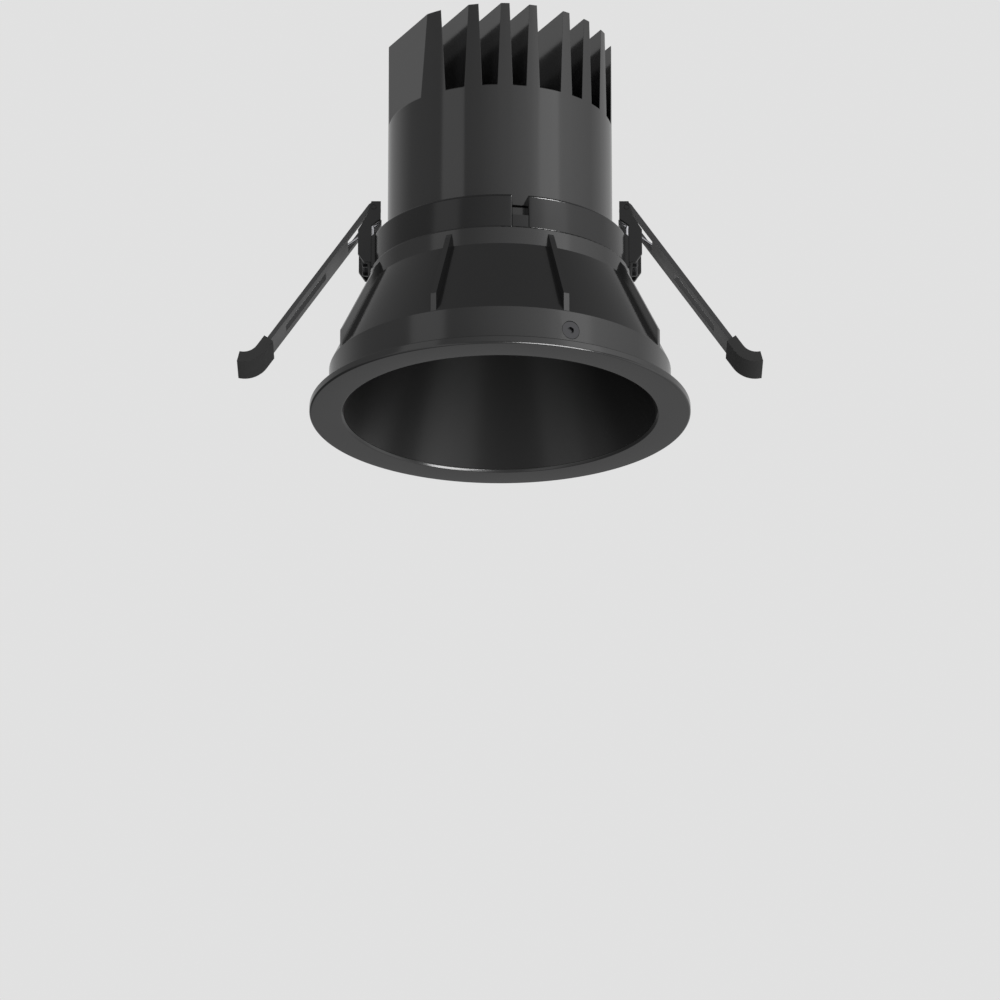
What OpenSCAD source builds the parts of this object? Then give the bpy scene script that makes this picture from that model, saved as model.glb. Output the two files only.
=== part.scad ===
// Recessed soffit downlight: trim ring, black cone, housing, finned heat sink
// and two sprung ceiling clips. Millimetres, Z up into the ceiling void.
// The origin is on the lamp's axis, in the plane of the trim's back face.

/* [Trim ring] */
// Outer diameter of the trim ring
trim_d = 118; // [112:0.5:130]
// Thickness of the trim ring's flange
trim_t = 2.5; // [2:0.1:4]
// Rounding of the trim's outer lower edge
trim_edge_r = 0.9; // [0.3:0.1:1.5]
// Width of the trim's face, from its outer edge to the light opening
face_w = 10.6; // [9.8:0.1:14]
// Rounding of the opening's lower edge, also the depth of the cone's seat
lip_r = 0.9; // [0.5:0.1:1.5]
// Height of the upstand that the housing slides over
neck_h = 9; // [7:0.5:11]
// Wall of the upstand
neck_wall = 1.8; // [1.4:0.1:2.5]
// Depth of the foam gasket and its groove
gasket_t = 1.2; // [0.8:0.1:1.6]
// Width of the foam gasket
gasket_w = 2.6; // [1.5:0.1:3]

/* [Ceiling] */
// Thickness of the ceiling board between trim and clip feet
board_t = 12.5; // [6:0.5:18]

/* [Reflector cone] */
// Wall of the spun cone
cone_wall = 1; // [0.8:0.1:1.5]
// Half angle of the cone from the lamp's axis
cone_angle = 17; // [12:0.5:19]
// Width of the flange that carries the glass
cone_flange_w = 2.2; // [1.5:0.1:3]

/* [Housing] */
// Wall of the die-cast housing
housing_wall = 1.5; // [1.2:0.1:2.2]
// Height of the straight skirt that fills the ceiling hole
skirt_h = 12; // [11:0.5:16]
// Height of the shoulder that the collar ring stands on
shoulder_z = 44; // [40:0.5:48]
// Width of the shoulder outside the collar ring
ledge_w = 0.9; // [0.5:0.1:2]
// Thickness of the deck over the glass
deck_t = 2.4; // [2:0.1:3.5]
// Wall of the spigot under the heat sink
spigot_wall = 3.6; // [3:0.1:5]
// Height of the spigot above the shoulder
spigot_h = 8.4; // [8:0.1:12]
// Thickness of the flange that the engine screws pass
flange_t = 3; // [2:0.1:4]
// Width of that flange between the light passage and the screws' centres
screw_land = 3.8; // [3.4:0.1:5]
// Number of ribs round the housing
rib_count = 8; // [4:4:12]
// Thickness of a rib
rib_t = 1.8; // [1:0.1:3]

/* [Glass] */
// Thickness of the protective glass
glass_t = 3; // [2:0.1:4]
// Thickness of the seal on the glass
glass_gasket_t = 1; // [0.6:0.1:1.5]
// Width of the seal on the glass
glass_gasket_w = 2.4; // [1.5:0.1:3]

/* [Collar ring] */
// Radial thickness of the collar ring
collar_wall = 4.55; // [3:0.05:6]
// How far the collar ring reaches over the heat sink's foot
collar_lap = 1.9; // [1:0.1:4]
// Rounding of the collar's outer top edge
collar_edge_r = 1; // [0.3:0.1:1.5]
// Width of the notch in the collar
notch_w = 5; // [3:0.1:8]
// Depth of the notch from the collar's top
notch_h = 7; // [5:0.5:9]
// Place of the notch, turned from the front towards +X
notch_angle = 9.1; // [0:0.1:30]

/* [Heat sink] */
// Diameter of the heat sink's round body
body_d = 70.2; // [68:0.2:76]
// Height of the round body
body_h = 40.8; // [36:0.2:50]
// Height of the fins above the body
fin_h = 27.6; // [15:0.5:40]
// Number of fins
fin_count = 8; // [4:2:8]
// Thickness of a fin at its tip
fin_tip_t = 2.45; // [1.5:0.05:3.2]
// Thickness of a fin at its root
fin_root_t = 4.3; // [3:0.1:5.5]
// Distance between neighbouring fins
fin_pitch = 8.42; // [7.6:0.02:8.6]
// Distance between the two middle fins
middle_gap = 11.58; // [9:0.02:12.4]
// Turn of the fins about the lamp's axis
fin_turn = 26.6; // [0:0.2:45]
// Depth of the chamber for the light engine
chamber_h = 30.9; // [28:0.1:32]
// Wall round that chamber
body_wall = 3.9; // [3:0.1:5]
// Thickness of the seam gasket under the heat sink
seam_t = 0.7; // [0.4:0.1:1.5]

/* [Light engine] */
// Radial distance from the light passage in to the circuit board's edge
board_in = 1.6; // [1:0.1:3]
// Thickness of the circuit board
led_board_t = 1.6; // [1:0.1:2.4]
// Thickness of the thermal pad
thermal_pad_t = 0.5; // [0.3:0.1:1]
// Radius of the glowing disc
emitter_r = 7; // [4:0.5:9]
// Height of the optic cup
optic_h = 27; // [22:0.5:28]
// Distance of the engine screws' centres from the spigot's inner wall
engine_screw_in = 4.1; // [3.9:0.1:4.6]
// Nominal diameter of the engine screws
engine_screw_d = 4; // [3:0.5:4]
// Length of the engine screws in the heat sink
engine_screw_grip = 9; // [6:0.5:11]
// Nominal diameter of the holder's screws
holder_screw_d = 2.8; // [2:0.1:3]
// Length of the holder's screws in the heat sink
holder_screw_grip = 4; // [3:0.5:5]
// Depth of the recess for their heads in the holder
holder_head_sink = 1.2; // [0.8:0.1:1.6]

/* [Cable inlet] */
// Height of the cable inlet above the body's lower edge
gland_rise = 18.9; // [16:0.1:22]
// Diameter of the gland's thread
gland_d = 12; // [10:0.5:13]
// Diameter of the cable that the seal takes
cable_d = 6; // [4:0.2:7]

/* [Ceiling clips] */
// Clear distance between the rolled eye and the heat sink
clip_gap = 2.06; // [1.4:0.02:3]
// Height of the hinge pins above the collar's top
pin_rise = 9.2; // [9:0.1:12]
// Diameter of the hinge pin
pin_d = 1.6; // [1.6:0.1:2]
// Radial clearance of the hinge pin in the arm's eye
pin_fit = 0.05; // [0.02:0.01:0.1]
// Thickness of the arm's strip
arm_t = 1.3; // [1:0.05:1.5]
// Width of the arm
arm_w = 13.2; // [12.4:0.1:15]
// Straight length of the arm from the pin to the foot's bend
arm_len = 58.5; // [54:0.1:60]
// Inner radius of the foot's bend
foot_r = 6; // [4:0.5:8]
// Width of the window in the arm for the spring
window_w = 8.2; // [8:0.1:9]
// Length of that window
window_l = 13; // [12:0.5:16]
// Rubber thickness on the foot
pad_t = 1; // [0.6:0.1:1.5]
// Thickness of the bracket's sheet
bracket_t = 1.2; // [1:0.1:1.6]
// Diameter of the spring wire
wire_d = 0.9; // [0.7:0.05:1]
// Number of turns of the spring
spring_turns = 5; // [3:1:5]
// Distance between the spring's turns
spring_pitch = 1.35; // [1.35:0.01:1.45]

/* [Hidden] */
$fn = 96;
e = 0.01;

// Fits and small roundings that several pieces share
slide_fit = 0.1;
seat_fit = 0.15;
screw_fit = 0.2;
edge_r = 0.3;
head_share = 0.95;

// Trim and cone
trim_r = trim_d / 2;
opening_r = trim_r - face_w;
seat_z = lip_r - trim_t;
cone_foot_w = cone_wall / cos(cone_angle);
neck_ri = opening_r + cone_foot_w + seat_fit;
neck_ro = neck_ri + neck_wall;
skirt_ri = neck_ro + slide_fit;
skirt_ro = skirt_ri + housing_wall;
groove_in = 1;
gasket_r = skirt_ro + groove_in + gasket_w / 2;

// Glass and the top of the cone, hung from the housing's deck
deck_z = shoulder_z - deck_t;
glass_z = deck_z - glass_gasket_t - glass_t;
cone_top_r = opening_r - (glass_z - seat_z) * tan(cone_angle);
cone_flange_r = cone_top_r + cone_flange_w;
glass_r = cone_flange_r - slide_fit;
glass_play = 0.3;

// Heat sink's body and the collar ring round its foot
body_r = body_d / 2;
spigot_z = shoulder_z + spigot_h;
body_z = spigot_z + seam_t;
collar_ri = body_r + seat_fit;
collar_ro = collar_ri + collar_wall;
collar_z = body_z + collar_lap;
collar_h = collar_z - shoulder_z;
lug_stand = 0.2;
lug_x = collar_ro + lug_stand;

// Housing: its cap clears the glass and carries the collar ring
cap_wall = 1.8;
cap_ri = max(cone_flange_r + glass_play, collar_ro + ledge_w - cap_wall);
cap_ro = cap_ri + cap_wall;
cap_lip = 0.4;
cap_z = glass_z + cap_lip;
spigot_ri = body_r - spigot_wall;

// Screws from trim to housing, countersunk in the skirt
trim_screw_angles = [54, 174, 294];
trim_screw_r = 1.5;
trim_screw_z = neck_h - 2 * trim_screw_r;
trim_screw_sink = 1.3;
trim_screw_under = 0.1;
socket_depth = 0.8;

// Heat sink and engine
fin_z = body_z + body_h;
fin_top_z = fin_z + fin_h;
chamber_r = body_r - body_wall;
chamber_z = body_z + chamber_h;
engine_screw_angles = [30, 150, 270];
engine_screw_ring_r = spigot_ri - engine_screw_in;
boss_sink = 0.2;
engine_boss_r = chamber_r - engine_screw_ring_r + boss_sink;
engine_hole_l = engine_screw_grip + 3;
passage_r = engine_screw_ring_r - screw_land;
board_r = passage_r - board_in;
led_board_z = chamber_z - thermal_pad_t - led_board_t;
holder_h = 4;
holder_edge = 0.3;
holder_head_r = head_share * holder_screw_d;
holder_rim = 0.8;
holder_screw_x = board_r - holder_edge - holder_rim - holder_head_r;
holder_hole_l = holder_screw_grip + 2;
emitter_t = 0.8;
emitter_plate_t = 0.5;
emitter_plate_edge = 1.5;
optic_drop = 2.2;
optic_top_z = led_board_z - optic_drop;
optic_wall = 1;
optic_play = 1.2;

// Cable inlet
gland_z = body_z + gland_rise;
gland_pad_h = 0.9;
gland_pad_w = 3;
gland_seat_y = body_r + gland_pad_h;
gland_af = gland_d + 3;
gland_flange_t = 3;
gland_stub_l = 4;
gland_stub_wall = 1.1;
gland_inner_l = 2;
gland_bore_play = 0.6;
seal_l = 8;
seal_r = gland_d / 2 - gland_stub_wall;
nut_gap = 0.6;
nut_cap_t = 1.5;
nut_cone_l = 4;
nut_cone_in = 2.5;
nut_chamfer = 0.9;

// Clips
eye_hole_r = pin_d / 2 + pin_fit;
eye_r = eye_hole_r + arm_t;
pin_x = body_r + clip_gap + eye_r;
pin_z = collar_z + pin_rise;
pad_r = foot_r + arm_t + pad_t;
arm_reach = sqrt(pow(arm_len, 2) + pow(eye_r + foot_r, 2));
arm_tilt = acos((pin_z - board_t - pad_r) / arm_reach) - atan2(eye_r + foot_r, arm_len);
foot_past_level = 8;
foot_turn = 90 - arm_tilt + foot_past_level;
foot_taper = 6;
boot_l = 4;
boot_side = 0.6;
arm_slot_w = 5;
arm_slot_in = 12;
arm_play = 0.2;
ear_in = arm_w / 2 + arm_play;
bracket_w = 2 * (ear_in + bracket_t);

// Bracket: its web lies on the collar's lug, its ears carry the pin
clip_screw_r = 1.5;
clip_screw_y = 3.6;
clip_screw_z = shoulder_z + 4.2;
clip_screw_in = 0.4;
web_x = lug_x;
web_z = clip_screw_z - 2.7;
web_top_z = collar_z + 3;
ear_x = pin_x - eye_r;
ear_top = 1.9;
ear_tip_w = 0.75;
ear_shoulder_w = 2.1;
ear_w = 2.2;
ear_belly = 4.2;
ear_slope = 3;

// The spring: a leg behind the web, the coil round the pin, a leg over the arm
wire_sides = 6;
wire_r = wire_d / 2;
wire_play = 0.05;
coil_play = 0.3;
coil_r = pin_d / 2 + coil_play + wire_r;
leg_v = eye_r + wire_r + wire_play;
leg_lean = 20;
leg_hook_l = 7;
leg_in_l = 2;
leg_in_rise = 0.6;

// ---- small shapes used by several pieces ----

// Cuts a rounding of radius r into the corner at (x, y) of a flat section;
// the material lies towards the signs sx and sy
module soften(x, y, sx, sy, r) {
    translate([x, y])
    difference() {
        translate([sx > 0 ? -e : -r, sy > 0 ? -e : -r])
        square([r + e, r + e]);
        translate([sx * r, sy * r])
        circle(r);
    }
}

// A ring of rectangular section
module ring(ri, ro, z, h) {
    translate([0, 0, z])
    difference() {
        cylinder(r = ro, h = h);
        translate([0, 0, -1])
        cylinder(r = ri, h = h + 2);
    }
}

// A pan-head screw along +Z, its head's seat at z = 0 and its tip up
module pan_screw(d, l) {
    head_h = 0.65 * d;
    difference() {
        union() {
            translate([0, 0, -head_h])
            rotate_extrude()
            difference() {
                square([head_share * d, head_h]);
                soften(head_share * d, 0, -1, 1, 0.25 * d);
            }
            cylinder(r = (d - slide_fit) / 2, h = l);
        }
        translate([0, 0, -head_h - 1])
        cylinder(r = 0.42 * d, h = 1 + 0.4 * d, $fn = 6);
    }
}

// Puts a shape on both sides, the left one mirrored
module on_side(side) {
    if (side > 0) children();
    else mirror([1, 0, 0]) children();
}

// ---- trim, cone and glass ----

module trim_section() {
    difference() {
        union() {
            translate([opening_r, -trim_t])
            square([trim_r - opening_r, trim_t]);
            translate([neck_ri - 0.5, -e])
            square([neck_ro - neck_ri + 0.5, neck_h + e]);
        }
        translate([opening_r - 1, seat_z])
        square([neck_ri - opening_r + 1, neck_h - seat_z + 1]);
        translate([gasket_r - gasket_w / 2, -gasket_t])
        square([gasket_w, gasket_t + 1]);
        soften(opening_r, -trim_t, 1, 1, lip_r);
        soften(trim_r, -trim_t, -1, 1, trim_edge_r);
        soften(trim_r, 0, -1, -1, edge_r);
        soften(neck_ro, neck_h, -1, -1, edge_r);
    }
}

module trim_ring() {
    color([0.17, 0.17, 0.17])
    difference() {
        rotate_extrude()
        trim_section();
        for (a = trim_screw_angles)
            rotate([0, 0, a])
            translate([neck_ri - 2, 0, trim_screw_z])
            rotate([0, 90, 0])
            cylinder(r = trim_screw_r + slide_fit, h = neck_wall + 4);
    }
}

module ceiling_gasket() {
    half_w = (gasket_w - slide_fit) / 2;
    color([0.1, 0.1, 0.1])
    ring(gasket_r - half_w, gasket_r + half_w, -gasket_t, gasket_t);
}

module reflector_cone() {
    flange_t = cone_wall;
    color([0.05, 0.05, 0.05])
    rotate_extrude()
    polygon([
        [opening_r, seat_z],
        [opening_r + cone_foot_w, seat_z],
        [cone_top_r + cone_foot_w + flange_t * tan(cone_angle), glass_z - flange_t],
        [cone_flange_r, glass_z - flange_t],
        [cone_flange_r, glass_z],
        [cone_top_r, glass_z]
    ]);
}

module protective_glass() {
    color([0.8, 0.85, 0.85, 0.4])
    translate([0, 0, glass_z])
    cylinder(r = glass_r, h = glass_t);
}

module glass_gasket() {
    color([0.3, 0.3, 0.3])
    ring(glass_r - glass_gasket_w, glass_r, glass_z + glass_t, glass_gasket_t);
}

// ---- housing ----

module housing_section() {
    difference() {
        polygon([
            [skirt_ri, 0],
            [skirt_ro, 0],
            [skirt_ro, skirt_h],
            [cap_ro, cap_z],
            [cap_ro, shoulder_z],
            [body_r, shoulder_z],
            [body_r, spigot_z],
            [passage_r, spigot_z],
            [passage_r, spigot_z - flange_t],
            [spigot_ri, spigot_z - flange_t],
            [spigot_ri, deck_z],
            [cap_ri, deck_z],
            [cap_ri, cap_z - housing_wall],
            [skirt_ri, skirt_h - housing_wall]
        ]);
        soften(cap_ro, shoulder_z, -1, -1, 2 * edge_r);
    }
}

// One rib, a flat web from the skirt up to the shoulder
module housing_rib() {
    rib_sink = 0.6;
    rib_foot_h = 6;
    rib_top_w = 0.8;
    rotate([90, 0, 0])
    translate([0, 0, -rib_t / 2])
    linear_extrude(height = rib_t)
    polygon([
        [skirt_ro - rib_sink, skirt_h],
        [skirt_ro - slide_fit, skirt_h],
        [skirt_ro - slide_fit, skirt_h + rib_foot_h],
        [cap_ro + rib_top_w, shoulder_z - 2 * housing_wall],
        [cap_ro - edge_r, shoulder_z - housing_wall],
        [cap_ro - rib_sink, shoulder_z - housing_wall],
        [cap_ro - rib_sink, cap_z]
    ]);
}

// A countersunk shape along +X from the neck to the skirt's face: a shank and a
// cone that opens outwards; grow widens it into the recess for the screw
module countersunk(from_x, to_x, grow) {
    translate([0, 0, trim_screw_z])
    rotate([0, 90, 0])
    union() {
        translate([0, 0, from_x])
        cylinder(r = trim_screw_r + grow, h = to_x - from_x);
        translate([0, 0, skirt_ro - trim_screw_under - trim_screw_sink])
        cylinder(
            r1 = trim_screw_r + grow,
            r2 = trim_screw_r + grow + trim_screw_sink + to_x - skirt_ro + trim_screw_under,
            h = trim_screw_sink + to_x - skirt_ro + trim_screw_under
        );
    }
}

module housing_shell() {
    color([0.14, 0.14, 0.14])
    difference() {
        union() {
            rotate_extrude()
            housing_section();
            for (i = [0 : rib_count - 1])
                rotate([0, 0, (i + 0.5) * 360 / rib_count])
                housing_rib();
        }
        for (a = trim_screw_angles)
            rotate([0, 0, a])
            countersunk(neck_ro - 1, skirt_ro + 1, slide_fit);
        for (a = engine_screw_angles)
            rotate([0, 0, a])
            translate([engine_screw_ring_r, 0, spigot_z - flange_t - 1])
            cylinder(r = engine_screw_d / 2 + screw_fit, h = flange_t + 2);
        clip_screw_holes(clip_screw_r - slide_fit);
    }
}

module trim_screws() {
    color([0.5, 0.5, 0.5])
    for (a = trim_screw_angles)
        rotate([0, 0, a])
        difference() {
            countersunk(neck_ri, skirt_ro - trim_screw_under, 0);
            translate([skirt_ro - trim_screw_under - socket_depth, 0, trim_screw_z])
            rotate([0, 90, 0])
            cylinder(r = 0.75 * trim_screw_r, h = 2 * socket_depth, $fn = 6);
        }
}

// ---- collar ring ----

// The four clip screws' holes, through collar and spigot on both sides
module clip_screw_holes(r) {
    for (side = [-1, 1], row = [-1, 1])
        on_side(side)
        translate([spigot_ri - 1, row * clip_screw_y, clip_screw_z])
        rotate([0, 90, 0])
        cylinder(r = r, h = lug_x - spigot_ri + 2);
}

// A wedge between two directions from the axis, measured from the front
module front_wedge(from_a, to_a, reach) {
    polygon([
        [0, 0],
        [reach * sin(from_a), -reach * cos(from_a)],
        [reach * sin(to_a), -reach * cos(to_a)]
    ]);
}

module collar_ring() {
    half_notch = asin(notch_w / 2 / collar_ro);
    lug_w = bracket_w + 2 * lug_stand;
    lug_edge = 0.8;
    lug_in_x = collar_ri - 4;
    color([0.2, 0.2, 0.2])
    difference() {
        union() {
            rotate_extrude()
            difference() {
                translate([collar_ri, shoulder_z])
                square([collar_wall, collar_h]);
                soften(collar_ro, collar_z, -1, -1, collar_edge_r);
                soften(collar_ri, collar_z, 1, -1, edge_r);
            }
            for (side = [-1, 1])
                on_side(side)
                rotate([90, 0, 0])
                translate([0, 0, -lug_w / 2])
                linear_extrude(height = lug_w)
                polygon([
                    [lug_in_x, shoulder_z],
                    [lug_x, shoulder_z],
                    [lug_x, collar_z - lug_edge],
                    [lug_x - lug_edge, collar_z],
                    [lug_in_x, collar_z]
                ]);
        }
        translate([0, 0, shoulder_z - 1])
        cylinder(r = collar_ri, h = collar_h + 2);
        translate([0, 0, collar_z - notch_h])
        linear_extrude(height = notch_h + 1)
        front_wedge(notch_angle - half_notch, notch_angle + half_notch, 2 * collar_ro);
        clip_screw_holes(clip_screw_r + slide_fit);
    }
}

module seam_gasket() {
    seam_in = 0.4;
    color([0.04, 0.04, 0.04])
    difference() {
        ring(passage_r + seam_in, body_r - seam_in, spigot_z, seam_t);
        for (a = engine_screw_angles)
            rotate([0, 0, a])
            translate([engine_screw_ring_r, 0, spigot_z - 1])
            cylinder(r = engine_screw_d / 2 + screw_fit, h = seam_t + 2);
    }
}

// ---- heat sink ----

// Places of the fins across the body, a wider gap in the middle
fin_places = [
    for (i = [0 : fin_count / 2 - 1], s = [-1, 1])
    s * (middle_gap / 2 + i * fin_pitch)
];

module fins() {
    intersection() {
        translate([0, 0, fin_z - 1])
        cylinder(r = body_r, h = fin_h + 1);
        rotate([0, 0, fin_turn])
        for (x = fin_places)
            translate([x, body_r + 1, fin_z])
            rotate([90, 0, 0])
            linear_extrude(height = 2 * body_r + 2)
            polygon([
                [-fin_root_t / 2, -1],
                [fin_root_t / 2, -1],
                [fin_root_t / 2, 0],
                [fin_tip_t / 2, fin_h],
                [-fin_tip_t / 2, fin_h],
                [-fin_root_t / 2, 0]
            ]);
    }
}

// The space for the light engine, less the three bosses along its wall
module engine_chamber() {
    difference() {
        translate([0, 0, body_z - 1])
        cylinder(r = chamber_r, h = chamber_h + 1);
        for (a = engine_screw_angles)
            rotate([0, 0, a])
            translate([engine_screw_ring_r, 0, body_z - 2])
            cylinder(r = engine_boss_r, h = chamber_h + 3);
    }
}

module heatsink() {
    color([0.22, 0.22, 0.22])
    difference() {
        union() {
            translate([0, 0, body_z])
            rotate_extrude()
            difference() {
                square([body_r, body_h]);
                soften(body_r, 0, -1, 1, edge_r);
                soften(body_r, body_h, -1, -1, edge_r);
            }
            fins();
            translate([0, 0, gland_z])
            rotate([-90, 0, 0])
            cylinder(r = gland_d / 2 + gland_pad_w, h = gland_seat_y);
        }
        engine_chamber();
        for (a = engine_screw_angles)
            rotate([0, 0, a])
            translate([engine_screw_ring_r, 0, body_z - 1])
            cylinder(r = engine_screw_d / 2 - slide_fit, h = engine_hole_l + 1);
        for (side = [-1, 1])
            translate([side * holder_screw_x, 0, chamber_z - 1])
            cylinder(r = holder_screw_d / 2, h = holder_hole_l + 1);
        translate([0, body_r - 2 * body_wall, gland_z])
        rotate([-90, 0, 0])
        cylinder(r = gland_d / 2, h = 3 * body_wall);
    }
}

module engine_screws() {
    engine_thread_in = 0.3;
    color([0.6, 0.6, 0.6])
    for (a = engine_screw_angles)
        rotate([0, 0, a])
        translate([engine_screw_ring_r, 0, spigot_z - flange_t])
        pan_screw(engine_screw_d - engine_thread_in, flange_t + seam_t + engine_screw_grip);
}

// ---- light engine ----

module thermal_pad() {
    color([0.6, 0.62, 0.68])
    difference() {
        translate([0, 0, chamber_z - thermal_pad_t])
        cylinder(r = board_r, h = thermal_pad_t);
        holder_screw_holes(chamber_z - thermal_pad_t - 1, thermal_pad_t + 2);
    }
}

module holder_screw_holes(z, h) {
    for (side = [-1, 1])
        translate([side * holder_screw_x, 0, z])
        cylinder(r = holder_screw_d / 2 + 1.5 * screw_fit, h = h);
}

module led_board() {
    color([0.9, 0.9, 0.88])
    difference() {
        translate([0, 0, led_board_z])
        cylinder(r = board_r, h = led_board_t);
        holder_screw_holes(led_board_z - 1, led_board_t + 2);
    }
}

module led_emitter() {
    plate_r = emitter_r + emitter_plate_edge;
    color([0.95, 0.8, 0.35])
    translate([0, 0, led_board_z - emitter_t])
    union() {
        cylinder(r = emitter_r, h = emitter_t);
        translate([-plate_r, -plate_r, emitter_t - emitter_plate_t])
        cube([2 * plate_r, 2 * plate_r, emitter_plate_t]);
    }
}

module led_holder() {
    window_r = sqrt(2) * (emitter_r + emitter_plate_edge) + screw_fit;
    color([0.92, 0.92, 0.9])
    difference() {
        ring(window_r, board_r - holder_edge, led_board_z - holder_h, holder_h);
        holder_screw_holes(led_board_z - holder_h - 1, holder_h + 2);
        for (side = [-1, 1])
            translate([side * holder_screw_x, 0, led_board_z - holder_h - 1])
            cylinder(r = holder_head_r + screw_fit, h = holder_head_sink + 1);
    }
}

module holder_screws() {
    color([0.6, 0.6, 0.6])
    for (side = [-1, 1])
        translate([side * holder_screw_x, 0, led_board_z - holder_h + holder_head_sink])
        pan_screw(
            holder_screw_d,
            holder_h - holder_head_sink + led_board_t + thermal_pad_t + holder_screw_grip
        );
}

// Cup section: a steep curve that opens downwards
cup_top_r = emitter_r + optic_drop;
cup_foot_r = passage_r - optic_play - optic_wall;
function cup_r(t) = cup_top_r + (cup_foot_r - cup_top_r) * pow(t, 0.62);

module optic_cup() {
    steps = 8;
    inner = [for (i = [0 : steps]) [cup_r(i / steps), -optic_h * i / steps]];
    outer = [for (i = [steps : -1 : 0]) [cup_r(i / steps) + optic_wall, -optic_h * i / steps]];
    color([0.85, 0.85, 0.87])
    translate([0, 0, optic_top_z])
    rotate_extrude()
    polygon(concat(inner, outer));
}

// ---- cable inlet ----

// Places a shape with its +Z along the inlet's axis, pointing out of the body
module inlet(y) {
    translate([0, y, gland_z])
    rotate([-90, 0, 0])
    children();
}

module gland_body() {
    color([0.1, 0.1, 0.1])
    inlet(gland_seat_y)
    difference() {
        union() {
            translate([0, 0, -gland_pad_h - body_wall - gland_inner_l])
            cylinder(r = gland_d / 2 - slide_fit / 2, h = gland_pad_h + body_wall + gland_inner_l + e);
            cylinder(r = gland_af / 2 / cos(30), h = gland_flange_t, $fn = 6);
            cylinder(r = gland_d / 2, h = gland_flange_t + gland_stub_l);
        }
        translate([0, 0, -2 * body_wall - gland_inner_l])
        cylinder(r = cable_d / 2 + gland_bore_play, h = 3 * body_wall + 2 * gland_flange_t);
        translate([0, 0, gland_flange_t])
        cylinder(r = seal_r, h = gland_stub_l + 1);
    }
}

module gland_seal() {
    color([0.05, 0.05, 0.05])
    inlet(gland_seat_y + gland_flange_t)
    difference() {
        cylinder(r = seal_r - slide_fit / 2, h = seal_l);
        translate([0, 0, -1])
        cylinder(r = cable_d / 2, h = seal_l + 2);
    }
}

module gland_nut() {
    nut_l = seal_l - nut_gap + nut_cap_t;
    corner_r = gland_af / 2 / cos(30);
    color([0.1, 0.1, 0.1])
    inlet(gland_seat_y + gland_flange_t + nut_gap)
    difference() {
        intersection() {
            cylinder(r = corner_r, h = nut_l, $fn = 6);
            rotate_extrude()
            polygon([
                [0, 0],
                [gland_af / 2 + nut_chamfer, 0],
                [gland_af / 2 + nut_chamfer, nut_l - nut_cone_l],
                [gland_af / 2 - nut_cone_in, nut_l],
                [0, nut_l]
            ]);
        }
        translate([0, 0, -1])
        cylinder(r = gland_d / 2 + slide_fit, h = gland_stub_l - nut_gap + 1 + slide_fit);
        cylinder(r = seal_r, h = nut_l - nut_cap_t);
        cylinder(r = cable_d / 2 + 2 * screw_fit, h = nut_l + 1);
    }
}

// ---- ceiling clips ----

// The arm's own frame: x runs down the arm, y to its outer face, the pin at 0
module arm_frame(w) {
    translate([pin_x, 0, pin_z])
    rotate([0, 90 - arm_tilt, 0])
    rotate([90, 0, 0])
    translate([0, 0, -w / 2])
    linear_extrude(height = w)
    children();
}

// A flat ring sector that follows the foot's bend
module foot_arc(ri, ro, turn) {
    translate([arm_len, eye_r + foot_r])
    intersection() {
        difference() {
            circle(ro);
            circle(ri);
        }
        polygon([
            [0, 0],
            [0, -3 * ro],
            [3 * ro * tan(turn / 2), -3 * ro],
            [3 * ro * sin(turn), -3 * ro * cos(turn)]
        ]);
    }
}

module arm_profile() {
    eye_slit = 0.3;
    difference() {
        union() {
            circle(eye_r);
            translate([0, eye_r - arm_t])
            square([arm_len + e, arm_t]);
            foot_arc(foot_r, foot_r + arm_t, foot_turn);
        }
        circle(eye_hole_r);
        translate([eye_slit, eye_r - arm_t - eye_slit])
        square([eye_r, eye_slit]);
    }
}

module clip_arm(side) {
    color([0.25, 0.25, 0.25])
    on_side(side)
    difference() {
        arm_frame(arm_w)
        arm_profile();
        arm_frame(window_w)
        translate([-eye_r - 1, -eye_r - 1])
        square([window_l + eye_r + 1, 2 * eye_r + 2]);
        arm_frame(arm_slot_w)
        translate([window_l + arm_slot_in, 0])
        square([arm_len - window_l - 2 * arm_slot_in, 2 * eye_r]);
    }
}

module clip_pad(side) {
    color([0.05, 0.05, 0.05])
    on_side(side)
    difference() {
        arm_frame(arm_w + 2 * boot_side)
        union() {
            foot_arc(foot_r - pad_t, pad_r, foot_turn + foot_taper);
            translate([arm_len - boot_l, eye_r - arm_t - pad_t])
            square([boot_l + e, arm_t + 2 * pad_t]);
        }
        arm_frame(arm_w)
        union() {
            foot_arc(foot_r, foot_r + arm_t, foot_turn);
            translate([arm_len - 2 * boot_l, eye_r - arm_t])
            square([2 * boot_l + 2 * e, arm_t]);
        }
    }
}

module clip_pin(side) {
    color([0.3, 0.3, 0.3])
    on_side(side)
    translate([pin_x, bracket_w / 2, pin_z])
    rotate([90, 0, 0])
    cylinder(r = pin_d / 2, h = bracket_w);
}

module ear_profile() {
    difference() {
        polygon([
            [web_x, web_z],
            [web_x + ear_w, web_z],
            [web_x + ear_belly, web_z + ear_slope],
            [web_x + ear_belly, web_top_z - ear_slope / 2],
            [pin_x + ear_shoulder_w, pin_z - ear_slope],
            [pin_x + ear_tip_w, pin_z + ear_top],
            [ear_x, pin_z + ear_top],
            [ear_x, web_top_z + eye_r],
            [web_x, web_top_z]
        ]);
        translate([pin_x, pin_z])
        circle(pin_d / 2);
    }
}

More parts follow.
